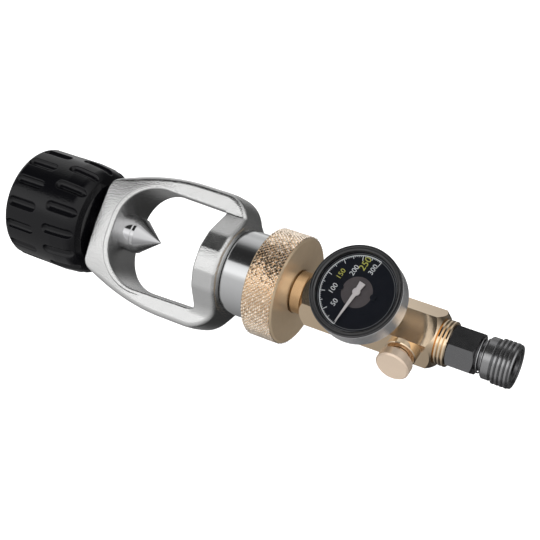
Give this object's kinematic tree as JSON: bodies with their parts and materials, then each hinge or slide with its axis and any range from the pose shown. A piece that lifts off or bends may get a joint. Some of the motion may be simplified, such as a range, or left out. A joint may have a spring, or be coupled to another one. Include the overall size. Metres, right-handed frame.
{
  "type": "cylinder fill adapter",
  "caption": "Clamp-yoke cylinder fill adapter: hand knob and yoke, knurled handwheel joint, hexagonal manifold with pressure gauge, bleed valve and quick coupler.",
  "frame": {"origin": "on the main axis, at the face of the nozzle that seats on the cylinder valve", "axes": "+X along the main axis towards the quick coupler, +Z out of the yoke's front face on the gauge's side, +Y across the yoke"},
  "size_m": [0.2592, 0.067, 0.0753],
  "materials": {
    "knob_black": "semi-gloss moulded",
    "core_steel": "turned",
    "screw_steel": "polished",
    "yoke_chrome": "satin plated",
    "socket_chrome": "polished plated",
    "filter_bronze": "sintered",
    "clip_steel": "bright",
    "wheel_brass": "knurled and polished",
    "polished_brass": "polished",
    "plain_brass": "turned",
    "copper_washer": "dull",
    "black_rubber": "matt",
    "case_steel": "satin",
    "bezel_black": "gloss",
    "window": "clear",
    "dial_black": "matt black, plain scale",
    "pointer_white": "white",
    "steel_small": "bright",
    "coupler_dark": "darkened",
    "sleeve_steel": "turned"
  },
  "bodies": {
    "clamp_frame": {"yoke": "yoke_chrome", "din_socket": "socket_chrome", "inlet_filter": "filter_bronze", "filter_clip": "clip_steel"},
    "clamp_screw": {"clamp_screw": "screw_steel"},
    "knob": {"knob_grip": "knob_black", "knob_core": "core_steel", "knob_cap": "knob_black", "knob_screw": "steel_small"},
    "outlet_slide": {"thrust_washer": "plain_brass"},
    "handwheel": {"din_handwheel": "wheel_brass"},
    "manifold": {"din_nipple": "plain_brass", "din_oring": "black_rubber", "nipple_oring": "black_rubber", "manifold_body": "polished_brass", "gauge_washer": "copper_washer", "gauge_socket": "plain_brass", "gauge_case": "case_steel", "gauge_bezel": "bezel_black", "lens_gasket": "black_rubber", "gauge_lens": "window", "gauge_dial": "dial_black", "dial_screws": "steel_small", "movement_frame": "plain_brass", "bourdon_tube": "plain_brass", "bourdon_link": "steel_small", "bleed_bonnet": "polished_brass", "bleed_oring": "black_rubber", "outlet_washers": "polished_brass", "coupler_body": "coupler_dark", "coupler_seal": "black_rubber", "locking_balls": "steel_small", "sleeve_snap_ring": "steel_small", "sleeve_spring": "steel_small"},
    "sector": {"sector_gear": "plain_brass"},
    "pointer": {"gauge_pointer": "pointer_white", "pointer_spindle": "steel_small"},
    "bleed_stem": {"bleed_stem": "steel_small"},
    "bleed_knob": {"bleed_knob": "polished_brass"},
    "coupler_sleeve": {"coupler_sleeve": "sleeve_steel"}
  },
  "joints": [
    {"name": "clamp_slide", "type": "slide", "parent": "clamp_frame", "child": "clamp_screw", "axis": [1, 0, 0], "range_m": [-0.016, 0.0015]},
    {"name": "knob_turn", "type": "hinge", "parent": "clamp_screw", "child": "knob", "pos_m": [-0.087, 0, 0], "axis": [1, 0, 0], "range_deg": [-2304.5, 216.5]},
    {"name": "outlet_travel", "type": "slide", "parent": "clamp_frame", "child": "outlet_slide", "axis": [1, 0, 0], "range_m": [0, 0.01]},
    {"name": "handwheel_turn", "type": "hinge", "parent": "outlet_slide", "child": "handwheel", "pos_m": [0.037, 0, 0], "axis": [1, 0, 0], "range_deg": [0, 1985]},
    {"name": "manifold_swivel", "type": "hinge", "parent": "outlet_slide", "child": "manifold", "pos_m": [0.084, 0, 0], "axis": [1, 0, 0], "continuous": true},
    {"name": "sector_turn", "type": "hinge", "parent": "manifold", "child": "sector", "pos_m": [0.087, -0.00143, 0.03695], "axis": [0, 0.1908, 0.9816], "range_deg": [0, 38], "stiffness_Nm_per_rad": 0.0001, "springref_deg": -11.46},
    {"name": "pointer_turn", "type": "hinge", "parent": "manifold", "child": "pointer", "pos_m": [0.087, 0.00725, 0.0373], "axis": [0, 0.1908, 0.9816], "range_deg": [-190, 0]},
    {"name": "bleed_lift", "type": "slide", "parent": "manifold", "child": "bleed_stem", "axis": [0, -0.7547, 0.6561], "range_m": [0, 0.002]},
    {"name": "bleed_turn", "type": "hinge", "parent": "bleed_stem", "child": "bleed_knob", "pos_m": [0.1035, -0.01434, 0.01247], "axis": [0, -0.7547, 0.6561], "range_deg": [0, 720.5]},
    {"name": "sleeve_travel", "type": "slide", "parent": "manifold", "child": "coupler_sleeve", "axis": [1, 0, 0], "range_m": [-0.003, 0], "stiffness_N_per_m": 1500, "springref_m": 0.004, "deforming": ["sleeve_spring"]}
  ],
  "couplings": [
    {"joint": "knob_turn", "follows": "clamp_slide", "rad_per_m": 2513.3},
    {"joint": "handwheel_turn", "follows": "outlet_travel", "rad_per_m": 3463.7},
    {"joint": "pointer_turn", "follows": "sector_turn", "ratio": -5},
    {"joint": "bleed_turn", "follows": "bleed_lift", "rad_per_m": 6283.2}
  ]
}
